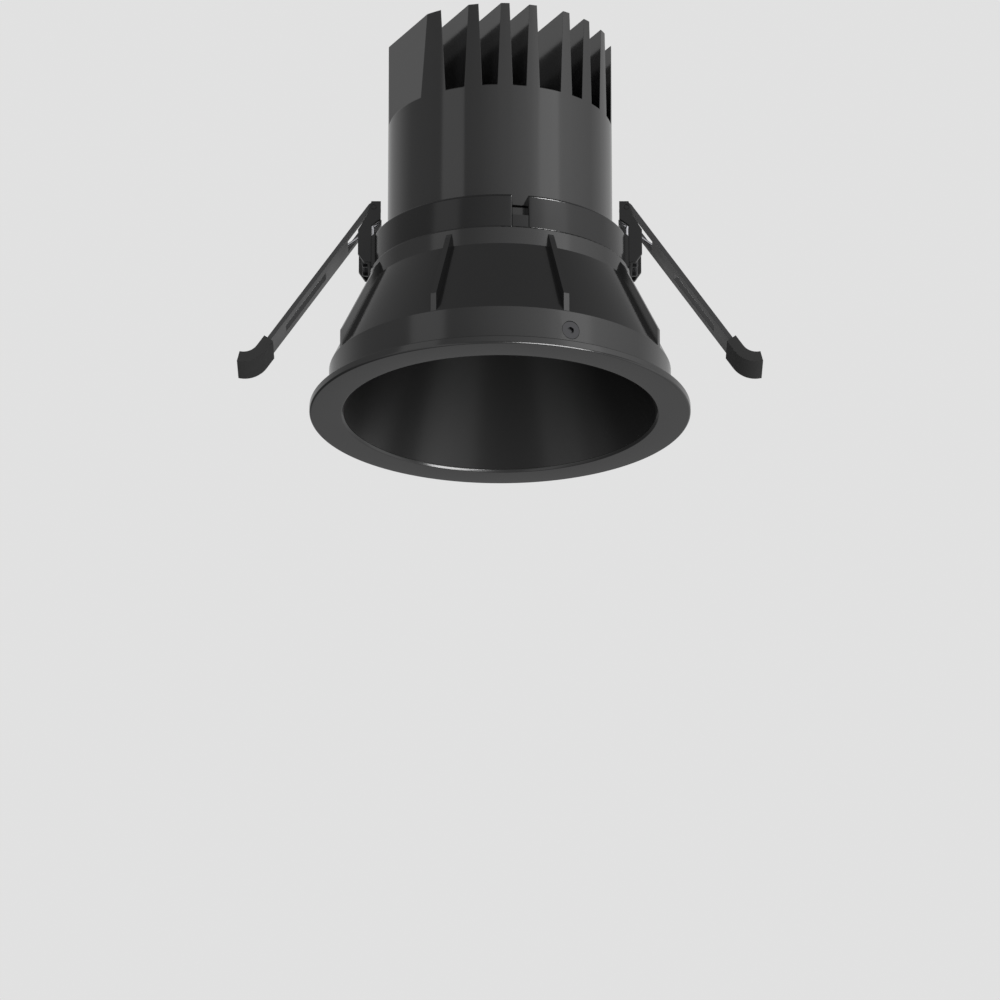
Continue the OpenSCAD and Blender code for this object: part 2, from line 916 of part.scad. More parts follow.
module clip_bracket(side) {
    color([0.12, 0.12, 0.12])
    on_side(side)
    difference() {
        union() {
            for (y = [ear_in, -ear_in - bracket_t])
                translate([0, y + bracket_t, 0])
                rotate([90, 0, 0])
                linear_extrude(height = bracket_t)
                ear_profile();
            translate([web_x, -ear_in - e, web_z])
            cube([bracket_t, 2 * ear_in + 2 * e, web_top_z - web_z]);
        }
        for (row = [-1, 1])
            translate([web_x - 1, row * clip_screw_y, clip_screw_z])
            rotate([0, 90, 0])
            cylinder(r = clip_screw_r + slide_fit, h = bracket_t + 2);
    }
}

module bracket_screws() {
    color([0.6, 0.6, 0.6])
    for (side = [-1, 1], row = [-1, 1])
        on_side(side)
        translate([web_x + bracket_t, row * clip_screw_y, clip_screw_z])
        rotate([0, -90, 0])
        pan_screw(2 * clip_screw_r - edge_r, web_x + bracket_t - spigot_ri - clip_screw_in);
}

// Route of the spring's wire round the pin: x outwards, y along the pin, z up
coil_y = spring_turns * spring_pitch / 2;
coil_from = -10.3;
coil_to = 180 + arm_tilt + leg_lean + 360 * (spring_turns - 1);
coil_rings = 8 * spring_turns;
function arm_point(u, v) = [
    u * sin(arm_tilt) + v * cos(arm_tilt),
    -u * cos(arm_tilt) + v * sin(arm_tilt)
];
function coil_point(i) =
    let (t = i / coil_rings, a = coil_from + t * (coil_to - coil_from))
    [coil_r * cos(a), -coil_y + 2 * coil_y * t, coil_r * sin(a)];
ring_step = (coil_to - coil_from) / coil_rings;
leg_in_x = web_x - pin_x - wire_r - wire_play;
leg_hook = arm_point(window_l, leg_v);
leg_end = arm_point(window_l + leg_hook_l, leg_v);
wire_route = concat(
    [[leg_in_x, -coil_y, web_top_z - pin_z - leg_in_l], [leg_in_x, -coil_y, web_top_z - pin_z + leg_in_rise]],
    [for (i = [0 : coil_rings]) coil_point(i)],
    [[leg_hook[0], coil_y, leg_hook[1]], [leg_end[0], coil_y, leg_end[1]]]
);

// Sweeps a tube along a route: each ring lies square to the route's mean direction,
// and is turned from the pin's direction so that the rings follow one another
function unit(v) = v / norm(v);
function along(p, i) =
    unit(p[min(i + 1, len(p) - 1)] - p[max(i - 1, 0)]);
module tube(p, r, sides) {
    points = [
        for (i = [0 : len(p) - 1])
        let (
            d = along(p, i),
            s = unit(cross(d, [0, 1, 0])),
            n = cross(s, d)
        )
        for (k = [0 : sides - 1])
        p[i] + r * (cos(360 * k / sides) * s + sin(360 * k / sides) * n)
    ];
    last = (len(p) - 1) * sides;
    walls = [
        for (i = [0 : len(p) - 2], k = [0 : sides - 1])
        let (a = i * sides + k, b = i * sides + (k + 1) % sides)
        each [[a, b, b + sides], [a, b + sides, a + sides]]
    ];
    caps = [
        for (k = [1 : sides - 2])
        each [[0, k + 1, k], [last, last + k, last + k + 1]]
    ];
    polyhedron(points = points, faces = concat(walls, caps));
}

module clip_spring(side) {
    color([0.55, 0.55, 0.56])
    on_side(side)
    translate([pin_x, 0, pin_z])
    tube(wire_route, wire_r, wire_sides);
}

// Least gap between neighbouring turns: from each ring to points one turn on
turn_gap = min([
    for (i = [0 : coil_rings / 2], back = [-30 : 5 : 30])
    norm(coil_point(i) - coil_point(i + (360 + back) / ring_step))
]) - wire_d;
echo(str("least gap between the spring's turns: ", turn_gap, " mm"));

trim_ring();
ceiling_gasket();
reflector_cone();
housing_shell();
trim_screws();
protective_glass();
glass_gasket();
collar_ring();
seam_gasket();
engine_screws();
heatsink();
thermal_pad();
led_board();
led_emitter();
led_holder();
holder_screws();
optic_cup();
gland_body();
gland_seal();
gland_nut();
bracket_screws();
clip_bracket(-1);  // clip_bracket_left
clip_bracket(1);  // clip_bracket_right
clip_pin(-1);  // clip_pin_left
clip_pin(1);  // clip_pin_right
clip_arm(-1);  // clip_arm_left
clip_arm(1);  // clip_arm_right
clip_spring(-1);  // clip_spring_left
clip_spring(1);  // clip_spring_right
clip_pad(-1);  // clip_pad_left
clip_pad(1);  // clip_pad_right
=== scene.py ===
import math

import bmesh
import bpy
import numpy as np
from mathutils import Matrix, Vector


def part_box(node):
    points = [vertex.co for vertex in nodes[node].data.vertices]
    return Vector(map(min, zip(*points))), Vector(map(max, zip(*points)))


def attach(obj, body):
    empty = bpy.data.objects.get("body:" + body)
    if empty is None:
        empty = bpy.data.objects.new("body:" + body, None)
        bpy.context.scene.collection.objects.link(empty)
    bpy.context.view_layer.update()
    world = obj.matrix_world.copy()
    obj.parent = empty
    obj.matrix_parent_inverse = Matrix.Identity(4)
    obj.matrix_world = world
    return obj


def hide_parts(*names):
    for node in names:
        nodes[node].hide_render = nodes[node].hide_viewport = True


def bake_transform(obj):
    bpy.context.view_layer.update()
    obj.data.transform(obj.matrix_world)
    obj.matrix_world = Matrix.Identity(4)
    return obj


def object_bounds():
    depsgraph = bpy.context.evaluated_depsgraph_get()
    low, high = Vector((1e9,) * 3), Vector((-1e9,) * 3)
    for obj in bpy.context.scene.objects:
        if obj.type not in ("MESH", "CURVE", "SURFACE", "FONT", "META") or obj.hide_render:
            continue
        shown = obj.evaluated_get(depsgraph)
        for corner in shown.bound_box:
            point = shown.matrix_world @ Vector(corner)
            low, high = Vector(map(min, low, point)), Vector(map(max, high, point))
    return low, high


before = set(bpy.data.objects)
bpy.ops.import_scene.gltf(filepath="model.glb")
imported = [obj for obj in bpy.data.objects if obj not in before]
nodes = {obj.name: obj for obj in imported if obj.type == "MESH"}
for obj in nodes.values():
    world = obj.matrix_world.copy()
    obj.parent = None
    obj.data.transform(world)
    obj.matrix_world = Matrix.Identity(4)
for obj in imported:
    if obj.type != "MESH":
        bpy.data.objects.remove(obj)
cad_low, cad_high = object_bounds()

# ---- Studio ----
# The lamp hangs as in a ceiling and is looked up at from below, through a long lens.
# The room round it is painted light and dim by turns, for the satin coats to mirror. Two narrow lights
# draw the glints on its edges, and a pale floor shows only from above.

scene = bpy.context.scene
scene.view_settings.view_transform = "Standard"

eye = (0, -2.0907, -0.8353)
tilt_from_down = 111.05
lens = bpy.data.cameras.new("view_from_below")
lens.lens = 261.83
lens.sensor_width = 36
lens.clip_start = 0.05
lens.clip_end = 50
camera = bpy.data.objects.new("view_from_below", lens)
camera.location = eye
camera.rotation_euler = (math.radians(tilt_from_down), 0, 0)
scene.collection.objects.link(camera)
scene.camera = camera


def add(tree, *kinds):
    """New shader nodes of the named kinds, in that order."""
    return [tree.nodes.new("ShaderNode" + kind) for kind in kinds]


def wire(tree, *pairs):
    """Joins each output socket to its input socket."""
    for out, into in pairs:
        tree.links.new(out, into)


def paint_ring(tree, stops, brightest):
    """A colour ramp over the compass from (azimuth in degrees, tone) stops, as shares of the brightest."""
    ring, = add(tree, "ValToRGB")
    for i, (azimuth, tone) in enumerate(stops):
        stop = ring.color_ramp.elements[i] if i < 2 else ring.color_ramp.elements.new(1)
        stop.position = azimuth / 360 + 0.5
        stop.color = (tone / brightest,) * 3 + (1,)
    return ring


def lay_room():
    """The eye sees one pale tone. What the lamp mirrors follows the compass, from the front towards +X, on
    two rings that fade into each other near the horizon, and it is dim overhead. The upper ring has a strip
    of light at the left front, and a slope up to a brighter strip at the right front. The lower ring has a
    broad strip at the right front, and narrower ones at the left front and at the right."""
    upper = ((-180, 0.70), (-150, 0.68), (-128, 0.71), (-104, 0.53), (-78, 0.64), (-63, 0.66),
             (-61.8, 1.38), (-38, 1.44), (-36.8, 0.70), (-20, 0.83), (0, 1.16), (17.5, 1.48), (31, 1.78),
             (39, 2.30), (42, 2.95), (62, 3.00), (64.5, 2.20), (84, 1.65), (107, 1.02), (126, 0.96),
             (142, 0.90), (155, 0.73), (180, 0.70))
    lower = ((-180, 0.475), (-165, 0.30), (-150, 0.12), (-115, 0.15), (-98, 0.36), (-84, 0.72),
             (-70, 0.85), (-61, 1.30), (-36, 1.30), (-30, 0.72), (-12, 0.64), (4, 0.72), (15, 0.90),
             (21, 1.55), (46, 2.15), (60, 1.90), (67, 0.85), (84, 0.62), (98, 1.60), (114, 1.55),
             (126, 0.85), (155, 0.56), (180, 0.475))
    brightest = 4.0
    overhead_tone = 0.4
    seen_tone = 0.755
    world = bpy.data.worlds.new("pale_room")
    scene.world = world
    world.use_nodes = True
    tree = world.node_tree
    tree.nodes.clear()
    upper_ring = paint_ring(tree, upper, brightest)
    lower_ring = paint_ring(tree, lower, brightest)
    where, split, flip, compass, share = add(tree, "TexCoord", "SeparateXYZ", "Math", "Math", "MapRange")
    flip.operation = "MULTIPLY"
    flip.inputs[1].default_value = -1
    compass.operation = "ARCTAN2"
    share.inputs["From Min"].default_value = -math.pi
    share.inputs["From Max"].default_value = math.pi
    rising, overhead, walls, room, power = add(tree, "MapRange", "MapRange", "Mix", "Mix", "Math")
    for ramp, start, end in ((rising, -0.12, 0.25), (overhead, 0.49, 0.66)):
        ramp.interpolation_type = "SMOOTHSTEP"
        ramp.inputs["From Min"].default_value = start
        ramp.inputs["From Max"].default_value = end
    room.inputs["B"].default_value = overhead_tone / brightest
    power.operation = "MULTIPLY"
    power.inputs[1].default_value = brightest
    seen, lit, path, mix, out = add(tree, "Background", "Background", "LightPath", "MixShader", "OutputWorld")
    seen.inputs["Color"].default_value = (seen_tone,) * 3 + (1,)
    wire(tree,
         (where.outputs["Generated"], split.inputs[0]), (split.outputs["Y"], flip.inputs[0]),
         (split.outputs["X"], compass.inputs[0]), (flip.outputs[0], compass.inputs[1]),
         (compass.outputs[0], share.inputs["Value"]),
         (share.outputs["Result"], upper_ring.inputs[0]), (share.outputs["Result"], lower_ring.inputs[0]),
         (split.outputs["Z"], rising.inputs["Value"]), (split.outputs["Z"], overhead.inputs["Value"]),
         (rising.outputs["Result"], walls.inputs["Factor"]),
         (lower_ring.outputs["Color"], walls.inputs["A"]), (upper_ring.outputs["Color"], walls.inputs["B"]),
         (overhead.outputs["Result"], room.inputs["Factor"]), (walls.outputs["Result"], room.inputs["A"]),
         (room.outputs["Result"], power.inputs[0]), (power.outputs[0], lit.inputs["Strength"]),
         (path.outputs["Is Camera Ray"], mix.inputs[0]), (lit.outputs[0], mix.inputs[1]),
         (seen.outputs[0], mix.inputs[2]), (mix.outputs[0], out.inputs["Surface"]))


def lay_floor(level, half):
    """A square at the trim's underside, painted above and clear below, that only the eye sees."""
    corners = [(-half, -half, level), (half, -half, level), (half, half, level), (-half, half, level)]
    mesh = bpy.data.meshes.new("floor")
    mesh.from_pydata(corners, [], [(0, 1, 2, 3)])
    floor = bpy.data.objects.new("floor", mesh)
    scene.collection.objects.link(floor)
    floor.visible_diffuse = floor.visible_glossy = floor.visible_transmission = floor.visible_shadow = False
    paint = bpy.data.materials.new("pale_floor")
    paint.use_nodes = True
    tree = paint.node_tree
    board = tree.nodes["Principled BSDF"]
    board.inputs["Base Color"].default_value = (0.78, 0.78, 0.77, 1)
    board.inputs["Roughness"].default_value = 0.7
    board.inputs["Emission Color"].default_value = (1, 1, 0.99, 1)
    board.inputs["Emission Strength"].default_value = 0.3
    face, clear, mix = add(tree, "NewGeometry", "BsdfTransparent", "MixShader")
    wire(tree,
         (face.outputs["Backfacing"], mix.inputs[0]), (board.outputs[0], mix.inputs[1]),
         (clear.outputs[0], mix.inputs[2]), (mix.outputs[0], tree.nodes["Material Output"].inputs["Surface"]))
    mesh.materials.append(paint)


def edge_light(name, azimuth, height, wide, tall, radiance, reach=1.5):
    """A light panel that faces the lamp: azimuth from the front towards +X and height, both in degrees, and
    its size in metres. A panel's radiance is its power / (pi area), so the power is pi area radiance."""
    panel = bpy.data.lights.new(name, "AREA")
    panel.shape = "RECTANGLE"
    panel.size = wide
    panel.size_y = tall
    panel.energy = radiance * math.pi * wide * tall
    light = bpy.data.objects.new(name, panel)
    turn, rise = math.radians(azimuth), math.radians(height)
    towards = Vector((math.sin(turn) * math.cos(rise), -math.cos(turn) * math.cos(rise), math.sin(rise)))
    light.location = towards * reach
    light.rotation_euler = towards.to_track_quat("Z", "Y").to_euler()
    scene.collection.objects.link(light)
    light.visible_camera = False
    return light


floor_gap = 0.0005
lay_room()
lay_floor(level=cad_low.z - floor_gap, half=3)
below_light = edge_light("edge_light_below", azimuth=45, height=-60, wide=0.9, tall=0.3, radiance=16.5)
above_light = edge_light("edge_light_above", azimuth=49, height=44, wide=0.45, tall=0.3, radiance=50)

# ---- Trim ring ----
# The ring that shows under the ceiling, die-cast aluminium with a satin black powder coat.
# Its outer edge and its lip have a narrow rounded chamfer. The coat's fine peel and its faint mottle are the
# same on every cast piece.

surface_values = {"Colour": "Color", "Roughness": "Float", "Normal": "Vector"}
noise_low, noise_high = 0.3, 0.7


def open_group(name, takes):
    """A shader node group that puts out a surface's values. Takes gives each input's own value: a number, a
    colour, or None for a vector. Returns the group's tree and its two ends."""
    tree = bpy.data.node_groups.new(name, "ShaderNodeTree")
    for label, value in takes.items():
        kind = "Vector" if value is None else "Color" if isinstance(value, tuple) else "Float"
        socket = tree.interface.new_socket(label, in_out="INPUT", socket_type="NodeSocket" + kind)
        if value is not None:
            socket.default_value = value
    for label, kind in surface_values.items():
        tree.interface.new_socket(label, in_out="OUTPUT", socket_type="NodeSocket" + kind)
    return tree, tree.nodes.new("NodeGroupInput"), tree.nodes.new("NodeGroupOutput")


def swing_by(tree, noise, share):
    """A number that follows a noise from 1 - share to 1 + share, where share is a socket."""
    swing, low, high = add(tree, "MapRange", "Math", "Math")
    swing.inputs["From Min"].default_value = noise_low
    swing.inputs["From Max"].default_value = noise_high
    for end, operation, bound in ((low, "SUBTRACT", "To Min"), (high, "ADD", "To Max")):
        end.operation = operation
        end.inputs[0].default_value = 1
        wire(tree, (share, end.inputs[1]), (end.outputs[0], swing.inputs[bound]))
    wire(tree, (noise, swing.inputs["Value"]))
    return swing.outputs["Result"]


def give_surface(tree, given, made, swing, grain, depth, distance):
    """Puts out a group's colour and roughness times the swing, and its edges' normal with a grain bump."""
    bright, gloss, bump = add(tree, "HueSaturation", "Math", "Bump")
    gloss.operation = "MULTIPLY"
    bump.inputs["Distance"].default_value = distance
    wire(tree,
         (given.outputs["Colour"], bright.inputs["Color"]), (swing, bright.inputs["Value"]),
         (bright.outputs["Color"], made.inputs["Colour"]),
         (given.outputs["Roughness"], gloss.inputs[0]), (swing, gloss.inputs[1]),
         (gloss.outputs[0], made.inputs["Roughness"]),
         (grain, bump.inputs["Height"]), (depth, bump.inputs["Strength"]),
         (given.outputs["Edge"], bump.inputs["Normal"]), (bump.outputs["Normal"], made.inputs["Normal"]))


def build_coat_texture():
    """Two noises on the object's own place. The fine one is the peel and grain, and the broad one mottles
    the tone and the gloss."""
    tree, given, made = open_group("coat_texture", {
        "Colour": (0.05, 0.05, 0.05, 1), "Roughness": 0.4, "Grains per metre": 2500.0, "Mottle": 0.15,
        "Peel depth": 0.3, "Edge": None})
    where, fine, broad = add(tree, "TexCoord", "TexNoise", "TexNoise")
    fine.inputs["Detail"].default_value = 2
    broad.inputs["Scale"].default_value = 45
    broad.inputs["Detail"].default_value = 4
    wire(tree,
         (where.outputs["Object"], fine.inputs["Vector"]), (where.outputs["Object"], broad.inputs["Vector"]),
         (given.outputs["Grains per metre"], fine.inputs["Scale"]))
    swing = swing_by(tree, broad.outputs["Fac"], given.outputs["Mottle"])
    give_surface(tree, given, made, swing, fine.outputs["Fac"], given.outputs["Peel depth"], distance=0.00004)
    return tree


def finish_from(group, name, metallic=0.0, edge=0.0, specular=0.5, **given):
    """A material whose surface takes colour, roughness and normal from a group. Given sets the group's
    inputs, and edge is the radius that sharp edges are shaded round by."""
    made = bpy.data.materials.new(name)
    made.use_nodes = True
    tree = made.node_tree
    skin = tree.nodes["Principled BSDF"]
    skin.inputs["Metallic"].default_value = metallic
    skin.inputs["Specular IOR Level"].default_value = specular
    texture, bevel = add(tree, "Group", "Bevel")
    texture.node_tree = group
    for label, value in given.items():
        texture.inputs[label.replace("_", " ")].default_value = value
    bevel.samples = 6
    bevel.inputs["Radius"].default_value = edge
    wire(tree,
         (bevel.outputs["Normal"], texture.inputs["Edge"]),
         (texture.outputs["Colour"], skin.inputs["Base Color"]),
         (texture.outputs["Roughness"], skin.inputs["Roughness"]),
         (texture.outputs["Normal"], skin.inputs["Normal"]))
    return made


def rounded(corners, steps=10):
    """A closed outline from corners (x, y, radius). Each arc runs about the centre that lies
    radius / sin(half) along the corner's bisector, from one tangent point to the other, by turning the
    radius at an even rate."""
    place = np.array(corners, float)
    at, radius = place[:, :2], place[:, 2:]
    back, ahead = np.roll(at, 1, 0) - at, np.roll(at, -1, 0) - at
    back, ahead = (side / np.linalg.norm(side, axis=1, keepdims=True) for side in (back, ahead))
    half = np.arccos(np.clip((back * ahead).sum(1, keepdims=True), -1, 1)) / 2
    middle = at + (back + ahead) / np.linalg.norm(back + ahead, axis=1, keepdims=True) * radius / np.sin(half)
    first, last = (at + side * radius / np.tan(half) - middle for side in (back, ahead))
    swept = (np.pi - 2 * half)[:, None]
    share = np.linspace(0, 1, steps)[None, :, None]
    arcs = np.sin((1 - share) * swept) * first[:, None] + np.sin(share * swept) * last[:, None]
    arcs = arcs / np.sin(swept) + middle[:, None]
    keep = np.repeat(radius > 0, steps, axis=1)
    keep[:, 0] = True
    return arcs[keep]


def grid_faces(rows, columns, round_rows=True):
    """The squares of a grid of points kept row by row. Each row is closed round on itself, and the last row
    is joined to the first where asked."""
    row = np.arange(rows if round_rows else rows - 1)[:, None]
    column = np.arange(columns)[None, :]
    next_row, next_column = (row + 1) % rows, (column + 1) % columns
    corners = (row * columns + column, next_row * columns + column,
               next_row * columns + next_column, row * columns + next_column)
    squares = np.stack([np.broadcast_to(corner, (row.size, columns)) for corner in corners], -1)
    return squares.reshape(-1, 4).tolist()


def place_piece(name, points, faces, material, replaced, body=None, crease=30, weld=1e-7):
    """Makes a closed mesh of the points and faces in a node's stead, smooth but for edges sharper than
    crease."""
    mesh = bpy.data.meshes.new(name)
    mesh.from_pydata(points.reshape(-1, 3).tolist(), [], faces)
    shell = bmesh.new()
    shell.from_mesh(mesh)
    bmesh.ops.remove_doubles(shell, verts=shell.verts, dist=weld)
    bmesh.ops.dissolve_degenerate(shell, edges=shell.edges, dist=weld)
    bmesh.ops.recalc_face_normals(shell, faces=shell.faces)
    shell.to_mesh(mesh)
    shell.free()
    mesh.shade_smooth()
    mesh.set_sharp_from_angle(angle=math.radians(crease))
    mesh.materials.append(material)
    piece = bpy.data.objects.new(name, mesh)
    scene.collection.objects.link(piece)
    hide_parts(replaced)
    if body:
        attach(piece, body)
    return piece


def turned(outline, segments=360):
    """A surface of revolution: (r, z) of a closed outline becomes (r cos a, r sin a, z) at even angles a."""
    angle = np.linspace(0, 2 * np.pi, segments, endpoint=False)[:, None]
    r, z = outline[:, 0], outline[:, 1]
    return np.stack([r * np.cos(angle), r * np.sin(angle), np.broadcast_to(z, (segments, len(z)))], -1)


def light_only(light, piece):
    """Keeps a light to one piece, so that it draws that piece's edges and nothing else."""
    lit = bpy.data.collections.new(light.name + "_lit")
    lit.objects.link(piece)
    light.light_linking.receiver_collection = lit


coat_texture = build_coat_texture()
satin_black = finish_from(coat_texture, "satin_black_coat", Colour=(0.009, 0.009, 0.0092, 1), Roughness=0.16,
                          Mottle=0.06, Peel_depth=0.02)

face_width, lip_wide, lip_tall, lip_round = 0.0106, 0.00068, 0.0007, 0.0004
edge_cut, edge_round, back_round = 0.00042, 0.0005, 0.0003
neck_wall, neck_inset = 0.0018, 0.0016
gasket_width, gasket_gap = 0.0026, 0.00005
ring_low, ring_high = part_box("trim_ring")
ring_r, ring_t, neck_top = ring_high.x, -ring_low.z, ring_high.z
opening_r = ring_r - face_width
cone_seat_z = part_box("reflector_cone")[0].z
neck_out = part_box("housing_shell")[1].x - neck_inset
neck_in = neck_out - neck_wall
gasket_low, gasket_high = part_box("ceiling_gasket")
groove_z = gasket_low.z
groove_out = gasket_high.x + gasket_gap
groove_in = groove_out - gasket_width
ring_points = turned(rounded([
    (opening_r, lip_tall - ring_t, lip_round), (opening_r + lip_wide, -ring_t, lip_round),
    (ring_r - edge_cut, -ring_t, edge_round), (ring_r, edge_cut - ring_t, edge_round),
    (ring_r, 0, back_round), (groove_out, 0, 0), (groove_out, groove_z, 0), (groove_in, groove_z, 0),
    (groove_in, 0, 0), (neck_out, 0, 0), (neck_out, neck_top, back_round), (neck_in, neck_top, 0),
    (neck_in, cone_seat_z, 0), (opening_r, cone_seat_z, 0)]))
ring_faces = grid_faces(*ring_points.shape[:2])
trim_ring = place_piece("trim_ring_turned", ring_points, ring_faces, satin_black,
                        "trim_ring", body="lamp")
light_only(below_light, trim_ring)

# ---- Ceiling gasket ----
# A closed-cell foam ring, cut from black sheet and pressed flat in the groove of the trim's back.
# It keeps water and dust out of the ceiling hole.


def dress(material, *names):
    """Puts a material on every slot of the named nodes."""
    for name in names:
        slots = nodes[name].data.materials
        for i in range(len(slots)):
            slots[i] = material
        if not slots:
            slots.append(material)


foam = finish_from(coat_texture, "cell_foam", Colour=(0.02, 0.02, 0.02, 1), Roughness=0.85,
                   Grains_per_metre=4200.0, Peel_depth=1.0)
dress(foam, "ceiling_gasket")

# ---- Reflector cone ----
# The deep anti-glare cone, spun from aluminium sheet and coated nearly black.
# Spinning leaves faint rings, which draw every mirrored light out into a soft streak down the wall.


def build_turned_texture():
    """Rings left by turning: a noise read along the distance from the axis plus the height, so that it is
    the same all round, with a fine speck in tone and gloss."""
    tree, given, made = open_group("turned_texture", {
        "Colour": (0.02, 0.02, 0.02, 1), "Roughness": 0.35, "Rings per metre": 1800.0, "Ring depth": 0.25,
        "Streaks": 0.12, "Edge": None})
    where, split, flat, length, total, rings, speck = add(
        tree, "TexCoord", "SeparateXYZ", "CombineXYZ", "VectorMath", "Math", "TexNoise", "TexNoise")
    length.operation = "LENGTH"
    rings.noise_dimensions = "1D"
    rings.inputs["Detail"].default_value = 3
    speck.inputs["Scale"].default_value = 1600
    speck.inputs["Detail"].default_value = 2
    wire(tree,
         (where.outputs["Object"], split.inputs[0]), (where.outputs["Object"], speck.inputs["Vector"]),
         (split.outputs["X"], flat.inputs["X"]), (split.outputs["Y"], flat.inputs["Y"]),
         (flat.outputs[0], length.inputs[0]), (length.outputs["Value"], total.inputs[0]),
         (split.outputs["Z"], total.inputs[1]), (total.outputs[0], rings.inputs["W"]),
         (given.outputs["Rings per metre"], rings.inputs["Scale"]))
    swing = swing_by(tree, speck.outputs["Fac"], given.outputs["Streaks"])
    give_surface(tree, given, made, swing, rings.outputs["Fac"], given.outputs["Ring depth"],
                 distance=0.00002)
    return tree


def stretch_gloss(material, share):
    """Spun metal draws each mirrored light out square to its rings. The tangent is (-y, x, 0), round the
    axis, and a quarter turn of it runs down the wall."""
    tree = material.node_tree
    skin = tree.nodes["Principled BSDF"]
    skin.inputs["Anisotropic"].default_value = share
    skin.inputs["Anisotropic Rotation"].default_value = 0.25
    where, split, flip, round_axis = add(tree, "TexCoord", "SeparateXYZ", "Math", "CombineXYZ")
    flip.operation = "MULTIPLY"
    flip.inputs[1].default_value = -1
    wire(tree,
         (where.outputs["Object"], split.inputs[0]), (split.outputs["Y"], flip.inputs[0]),
         (flip.outputs[0], round_axis.inputs["X"]), (split.outputs["X"], round_axis.inputs["Y"]),
         (round_axis.outputs[0], skin.inputs["Tangent"]))


turned_texture = build_turned_texture()
cone_black = finish_from(turned_texture, "spun_black_coat", Colour=(0.007, 0.007, 0.007, 1), Roughness=0.3,
                         Streaks=0.03, Ring_depth=0.1)
stretch_gloss(cone_black, share=0.85)
dress(cone_black, "reflector_cone")

# ---- Protective glass ----
# A clear toughened disc that lies on the cone's flange and keeps water off the light engine.
# A black silicone seal is pressed onto it from above.

clear_glass = bpy.data.materials.new("toughened_glass")
clear_glass.use_nodes = True
pane = clear_glass.node_tree.nodes["Principled BSDF"]
pane.inputs["Base Color"].default_value = (0.96, 0.985, 0.975, 1)
pane.inputs["Roughness"].default_value = 0.02
pane.inputs["Transmission Weight"].default_value = 1
pane.inputs["IOR"].default_value = 1.5
dress(clear_glass, "protective_glass")

seal_rubber = finish_from(coat_texture, "seal_rubber", Colour=(0.018, 0.018, 0.018, 1), Roughness=0.62,
                          Grains_per_metre=1500.0, Peel_depth=0.4)
dress(seal_rubber, "glass_gasket")

# ---- Housing ----
# The die-cast shell between trim and heat sink: skirt, sloping wall with eight ribs, deck and spigot.
# Three countersunk black screws hold it on the trim's upstand, and the screws inside are plain zinc.

zinc = finish_from(coat_texture, "zinc_plate", metallic=1.0, Colour=(0.34, 0.35, 0.37, 1), Roughness=0.36,
                   Grains_per_metre=900.0, Peel_depth=0.2)
black_zinc = finish_from(coat_texture, "black_zinc_plate", metallic=1.0, Colour=(0.045, 0.045, 0.047, 1),
                         Roughness=0.34, Grains_per_metre=900.0, Peel_depth=0.15)
dress(satin_black, "housing_shell")
dress(zinc, "engine_screws", "holder_screws")
dress(black_zinc, "trim_screws")

# ---- Heat sink and collar ----
# A die-cast body with eight tall fins, coated graphite, which stands in a turned collar ring with a notch.
# The satin coat mirrors the room's strips of light as soft upright bands. Under the body, a foam seal
# closes the seam that the notch lays open. Its near-black is partly the foam's own colour and partly painted
# shade.

graphite = finish_from(coat_texture, "graphite_coat", edge=0.00015, Colour=(0.009, 0.009, 0.0092, 1),
                       Roughness=0.12, Mottle=0.08, Peel_depth=0.05)
collar_coat = finish_from(coat_texture, "collar_coat", specular=0.3, Colour=(0.006, 0.006, 0.0062, 1),
                          Roughness=0.17, Mottle=0.08, Peel_depth=0.03)
# The seam foam is near-black and almost without gloss, darker than the other foams: partly its own black,
# partly painted shade in the seam.
seam_foam_and_painted_shade = finish_from(coat_texture, "seam_foam_and_painted_shade", specular=0.1, Colour=(0.003, 0.003, 0.003, 1),
                        Roughness=0.9, Peel_depth=0.6)
dress(graphite, "heatsink")
dress(seam_foam_and_painted_shade, "seam_gasket")


def notched(outline, middle, half, floor, inset, segments=300, wall_steps=7, columns=12, reach=0.001):
    """A turned surface with a notch. It goes round the long way from one wall of the notch to the other,
    then across it with every height above the floor let down to it. Within an arc length e of a wall, the
    outer top corner draws in by d = e - sqrt(e e - (e - s)(e - s)), where s is the arc length from the
    wall, so the wall's edge is round. The share of d that a point takes falls to nothing over the reach,
    inwards and downwards from that corner."""
    r, z = outline[:, 0], outline[:, 1]
    near = half + inset * (1 - np.cos(np.linspace(0, np.pi / 2, wall_steps)[:-1]))
    far = np.linspace(half + inset, 2 * np.pi - half - inset, segments)
    long_way = np.concatenate([near, far, 2 * np.pi - near[::-1]])
    across = np.linspace(-half, half, columns)
    from_wall = np.minimum(long_way - half, 2 * np.pi - half - long_way) * r.max()
    e = inset * r.max()
    drawn = e - np.sqrt(e * e - np.clip(e - from_wall, 0, e) ** 2)
    outer = np.clip((r - (r.max() - reach)) / reach, 0, 1)
    upper = np.clip((z - (z.max() - reach)) / reach, 0, 1)
    let_down = np.minimum(z, floor)
    all_r = np.concatenate([r - drawn[:, None] * outer, np.broadcast_to(r, (columns, r.size))])
    all_z = np.concatenate([z - drawn[:, None] * upper, np.broadcast_to(let_down, (columns, r.size))])
    angle = (middle + np.concatenate([long_way, across]))[:, None]
    return np.stack([all_r * np.cos(angle), all_r * np.sin(angle), all_z], -1)


def lug(side, half, inner, outer, low, high, chamfer):
    """A block on the collar's side: the outline (inner, low), (outer, low), (outer, high - c),
    (outer - c, high), (inner, high), with c the chamfer, at y = -half and at y = half."""
    outline = np.array([(inner, low), (outer, low), (outer, high - chamfer), (outer - chamfer, high),
                        (inner, high)])
    count = len(outline)
    ends = [np.stack([side * outline[:, 0], np.full(count, y), outline[:, 1]], -1) for y in (-half, half)]
    sides = grid_faces(2, count, round_rows=False)
    return np.concatenate(ends), sides + [list(range(count)), list(range(2 * count - 1, count - 1, -1))]


